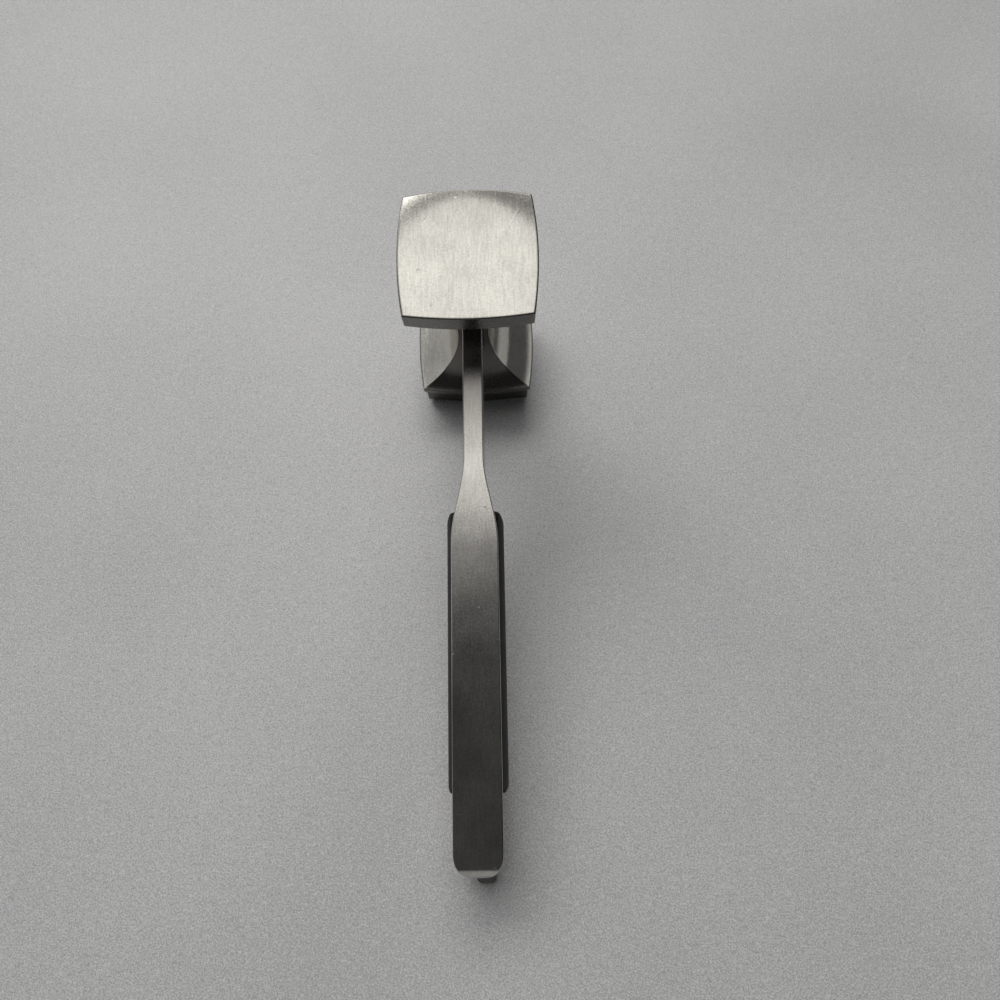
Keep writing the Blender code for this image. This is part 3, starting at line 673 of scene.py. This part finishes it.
# Pins. A drawn steel pin across the waist locks the neck in its socket, and its ends show in the sides of
# the waist. Three steel dowels through the strip's web carry the grips, and are out of sight.
def drawn_steel():
    """Plain drawn steel: fine lines round the pin and faint clouds."""
    made, shader, place = new_material("drawn_steel", 1.0)
    lines = place.stretched(0.05, 1.0, 1.0).noise(1800, 2.0, 0.6)
    clouds = place.noise(200, 2.0, 0.5)
    finish(shader, clouds.mixed((0.42, 0.42, 0.43, 1), (0.60, 0.60, 0.61, 1)),
           0.28 + (clouds - 0.5) * 0.2, lines, 0.000006)
    return made


pin_steel = drawn_steel()
for name in ("head_pin", "grip_dowel_front", "grip_dowel_middle", "grip_dowel_rear"):
    pin = frame["nodes"][name]
    pin.material_slots[0].material = pin_steel


# Table. A plain pale grey table top with a very fine matt grain, far wider than the mallet.
TABLE_WIDTH = 8.0
TABLE_GRAINS_PER_METRE = 2000
TABLE_RELIEF = 0.00004


def table_top():
    """A pale matt surface with an even speckle and the least of reliefs."""
    made, shader, place = new_material("pale_table", 0.0)
    speckle = place.noise(TABLE_GRAINS_PER_METRE, 1.0, 0.5)
    clouds = place.noise(6, 2.0, 0.5)
    colour = (speckle * 0.8 + clouds * 0.2).between(0.3, 0.7).mixed((0.58, 0.58, 0.585, 1),
                                                                    (0.98, 0.98, 0.985, 1))
    finish(shader, colour, 0.55 + (clouds - 0.5) * 0.1, speckle, TABLE_RELIEF)
    return made


half_table = TABLE_WIDTH / 2
table_mesh = bpy.data.meshes.new("table")
table_mesh.from_pydata([(-half_table, -half_table, 0), (half_table, -half_table, 0),
                        (half_table, half_table, 0), (-half_table, half_table, 0)], [], [(0, 1, 2, 3)])
table = bpy.data.objects.new("table", table_mesh)
bpy.context.scene.collection.objects.link(table)
table.data.materials.append(table_top())


# Light. A soft lamp over the far side of the head shows in the smooth face, the neck and the top of the
# strip, and a wider one beyond it throws the soft shadow towards the handle. The room is pale to the
# left, dim to the right, and nearly dark on the handle's side.
TOP_RADIANCE = 0.80
FAR_RADIANCE = 3.4
LAMP_COLOUR = (1.0, 0.99, 0.97)
LEFT_LEVEL = 0.44
RIGHT_LOSS = 0.36
NEAR_SHARE = 0.12
GAP_LOSS = 0.6
BACKDROP_LEVEL = 0.55


def soft_lamp(name, place, aim, size, radiance):
    """A rectangular lamp at a place, turned towards its aim. Its power follows from its radiance: a lamp
    that looks equally bright from everywhere sends out pi times that for each square metre."""
    lamp = bpy.data.lights.new(name, "AREA")
    lamp.shape = "RECTANGLE"
    lamp.size, lamp.size_y = size
    lamp.energy = radiance * math.pi * size[0] * size[1]
    lamp.color = LAMP_COLOUR
    hung = bpy.data.objects.new(name, lamp)
    bpy.context.scene.collection.objects.link(hung)
    turned = (Vector(place) - Vector(aim)).to_track_quat("Z", "Y").to_matrix().to_4x4()
    hung.matrix_world = Matrix.Translation(place) @ turned


def room():
    """The room's light by direction: from a pale level on the left to a dim one on the right, a dimmer
    gap high up beyond the top lamp, and nearly dark on the handle's side. To the camera it is one pale
    grey."""
    world = bpy.data.worlds.new("room")
    world.use_nodes = True
    bpy.context.scene.world = world
    tree = world.node_tree
    direction = Wire(tree).node("TexCoord", output="Generated")
    right, far = (direction.node("SeparateXYZ", {}, {"Vector": direction}, axis) for axis in "XY")
    aside = right.math("ABSOLUTE", right, 0)
    gap = far.between(0.36, 0.44) * (1 - far.between(0.50, 0.60)) * (1 - aside.between(0.20, 0.50))
    across = LEFT_LEVEL - right.between(0.24, 0.50) * RIGHT_LOSS
    away = NEAR_SHARE + far.between(-0.14, 0.01) * (1 - NEAR_SHARE)
    level = across * away * (1 - gap * GAP_LOSS)
    seen = Wire(tree).node("LightPath", output="Is Camera Ray")
    shown = level + seen * (BACKDROP_LEVEL - level)
    tree.links.new(shown.output, tree.nodes["Background"].inputs["Color"])


soft_lamp("top_lamp", (-0.04, 0.30, 1.10), (-0.04, 0.30, 0.0), (0.64, 0.50), TOP_RADIANCE)
soft_lamp("far_lamp", (-0.75, 2.35, 2.40), (0.0, 0.05, 0.0), (3.20, 1.30), FAR_RADIANCE)
room()


# Camera. It looks down on the smooth face from above the handle's side, at the photograph's angle. Its
# place is measured from the middle of the smooth face, upright.
CAMERA_PLACE = (0.01165, -0.14367, 0.24712)
CAMERA_TILT, CAMERA_ROLL, CAMERA_YAW = (math.radians(turn) for turn in (12.17, -0.40, 1.2))
LENS = 27.44

forward = Vector((0, math.sin(CAMERA_TILT), -math.cos(CAMERA_TILT)))
down = Vector((0, -math.cos(CAMERA_TILT), -math.sin(CAMERA_TILT)))
rolled = Matrix.Rotation(CAMERA_ROLL, 3, down)
forward, right = rolled @ forward, rolled @ Vector((1, 0, 0))
yawed = Matrix.Rotation(CAMERA_YAW, 3, forward)
right, down = yawed @ right, yawed @ down
turned = Matrix((right, -down, -forward)).transposed().to_4x4()
camera = bpy.data.objects.new("camera", bpy.data.cameras.new("camera"))
bpy.context.scene.collection.objects.link(camera)
camera.data.lens = LENS
camera.data.sensor_width = 36.0
camera.data.clip_start = 0.01
camera.matrix_world = LAID @ Matrix.Translation(Vector(CAMERA_PLACE) + Vector((0, 0, FACE_HEIGHT))) @ turned
bpy.context.scene.camera = camera
bpy.context.scene.view_settings.view_transform = "Standard"
